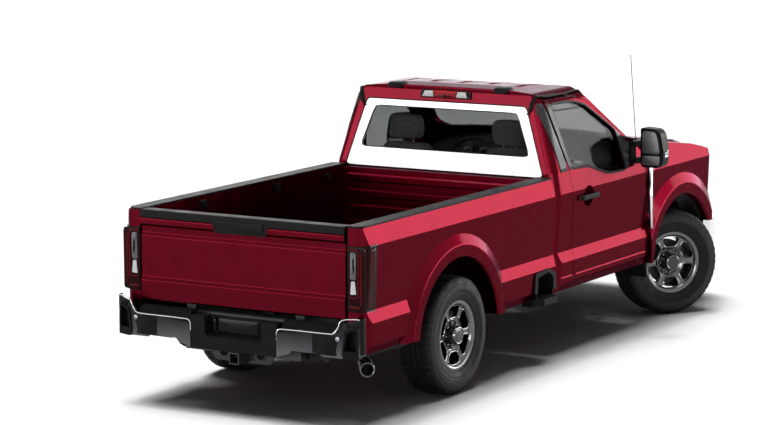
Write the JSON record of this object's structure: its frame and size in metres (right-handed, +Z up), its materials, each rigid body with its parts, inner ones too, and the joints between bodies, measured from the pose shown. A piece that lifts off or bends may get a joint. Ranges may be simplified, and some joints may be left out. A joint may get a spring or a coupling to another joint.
{
  "type": "pickup truck",
  "caption": "Full-size pickup truck with a regular cab, a long bed and four-wheel drive, its front wheels steered right, with opening doors, hood and tailgate.",
  "frame": {"origin": "Centre of the footprint of the whole truck, mirrors included, on the ground under the tyres.", "axes": "+X forward along the truck, +Y to its left side, +Z up."},
  "size_m": [5.936, 2.4914, 2.1384],
  "materials": {
    "body_paint": "gloss",
    "bed_paint": "gloss",
    "black_plastic": "satin",
    "step_plastic": "satin",
    "tyre_rubber": "matte",
    "wheel_chrome": "gloss",
    "bright_metal": "gloss",
    "bumper_metal": "satin",
    "axle_steel": "matte",
    "frame_steel": "satin",
    "pipe_steel": "satin",
    "tank_plastic": "matte",
    "window_glass": "gloss",
    "window_border": "gloss",
    "lamp_lens": "gloss",
    "headlamp_lens": "gloss",
    "seat_fabric": "matte",
    "cabin_plastic": "matte"
  },
  "bodies": {
    "truck": {"antenna": "black_plastic", "bed_box": "bed_paint", "bedsides": "body_paint", "cab_glass": "window_glass", "cab_shell": "body_paint", "dashboard": "cabin_plastic", "exhaust": "pipe_steel", "frame_rails": "frame_steel", "front_axle": "axle_steel", "front_bumper": "bright_metal", "front_fenders": "body_paint", "fuel_tank": "tank_plastic", "grille": "bright_metal", "headlamps": "headlamp_lens", "hitch_receiver": "frame_steel", "powertrain": "axle_steel", "rail_caps": "black_plastic", "rear_axle": "axle_steel", "rear_bumper": "bumper_metal", "rear_lamps": "lamp_lens", "rear_window_frame": "window_border", "seats": "seat_fabric", "side_steps": "step_plastic", "step_pads": "step_plastic"},
    "wheel_rear_left": {"tyre_rear_left": "tyre_rubber", "rim_rear_left": "wheel_chrome"},
    "wheel_rear_right": {"tyre_rear_right": "tyre_rubber", "rim_rear_right": "wheel_chrome"},
    "wheel_front_left": {"tyre_front_left": "tyre_rubber", "rim_front_left": "wheel_chrome"},
    "wheel_front_right": {"tyre_front_right": "tyre_rubber", "rim_front_right": "wheel_chrome"},
    "upright_left": {"knuckle_left": "axle_steel"},
    "side_door_left": {"door_left": "body_paint", "door_glass_left": "window_glass"},
    "side_mirror_left": {"mirror_left": "black_plastic"},
    "upright_right": {"knuckle_right": "axle_steel"},
    "side_door_right": {"door_right": "body_paint", "door_glass_right": "window_glass"},
    "side_mirror_right": {"mirror_right": "black_plastic"},
    "steering": {"steering_wheel": "cabin_plastic"},
    "lid_hood": {"hood": "body_paint"},
    "lid_tailgate": {"tailgate": "body_paint", "tailgate_trim": "black_plastic"},
    "lid_fuel": {"fuel_door": "body_paint"}
  },
  "joints": [
    {"name": "roll_rear_left", "type": "hinge", "parent": "truck", "child": "wheel_rear_left", "pos_m": [-1.603, 0.8535, 0.421], "axis": [0, 1, 0], "continuous": true},
    {"name": "roll_rear_right", "type": "hinge", "parent": "truck", "child": "wheel_rear_right", "pos_m": [-1.603, -0.8535, 0.421], "axis": [0, 1, 0], "continuous": true},
    {"name": "steer_right", "type": "hinge", "parent": "truck", "child": "upright_right", "pos_m": [1.994, -0.827, 0.421], "axis": [0, 0, 1], "range_deg": [-2, 62.5]},
    {"name": "steer_left", "type": "hinge", "parent": "truck", "child": "upright_left", "pos_m": [1.994, 0.827, 0.421], "axis": [0, 0, 1], "range_deg": [-2.2, 64.5]},
    {"name": "roll_front_left", "type": "hinge", "parent": "upright_left", "child": "wheel_front_left", "pos_m": [2.0133, 0.8626, 0.421], "axis": [0.4772, 0.8788, 0], "continuous": true},
    {"name": "roll_front_right", "type": "hinge", "parent": "upright_right", "child": "wheel_front_right", "pos_m": [1.9716, -0.8608, 0.421], "axis": [0.5519, 0.8339, 0], "continuous": true},
    {"name": "turn_steering_wheel", "type": "hinge", "parent": "truck", "child": "steering", "pos_m": [1.278, 0.385, 1.13], "axis": [-0.9135, 0, 0.4067], "range_deg": [-33, 940]},
    {"name": "open_door_left", "type": "hinge", "parent": "truck", "child": "side_door_left", "pos_m": [1.358, 0.97, 0.9], "axis": [0, 0, -1], "range_deg": [0, 65]},
    {"name": "open_door_right", "type": "hinge", "parent": "truck", "child": "side_door_right", "pos_m": [1.358, -0.97, 0.9], "axis": [0, 0, 1], "range_deg": [0, 65]},
    {"name": "fold_mirror_left", "type": "hinge", "parent": "side_door_left", "child": "side_mirror_left", "pos_m": [1.041, 1.01, 1.416], "axis": [0, 0, 1], "range_deg": [0, 70]},
    {"name": "fold_mirror_right", "type": "hinge", "parent": "side_door_right", "child": "side_mirror_right", "pos_m": [1.041, -1.01, 1.416], "axis": [0, 0, -1], "range_deg": [0, 70]},
    {"name": "open_hood", "type": "hinge", "parent": "truck", "child": "lid_hood", "pos_m": [1.444, 0, 1.412], "axis": [0, -1, 0], "range_deg": [0, 45]},
    {"name": "lower_tailgate", "type": "hinge", "parent": "truck", "child": "lid_tailgate", "pos_m": [-2.831, 0, 0.746], "axis": [0, -1, 0], "range_deg": [0, 90]},
    {"name": "open_fuel_door", "type": "hinge", "parent": "truck", "child": "lid_fuel", "pos_m": [-0.504, 0.969, 1.03], "axis": [0, 0, -1], "range_deg": [0, 100]}
  ],
  "couplings": [
    {"joint": "steer_left", "follows": "steer_right", "ratio": 1.02},
    {"joint": "turn_steering_wheel", "follows": "steer_right", "ratio": 15}
  ]
}
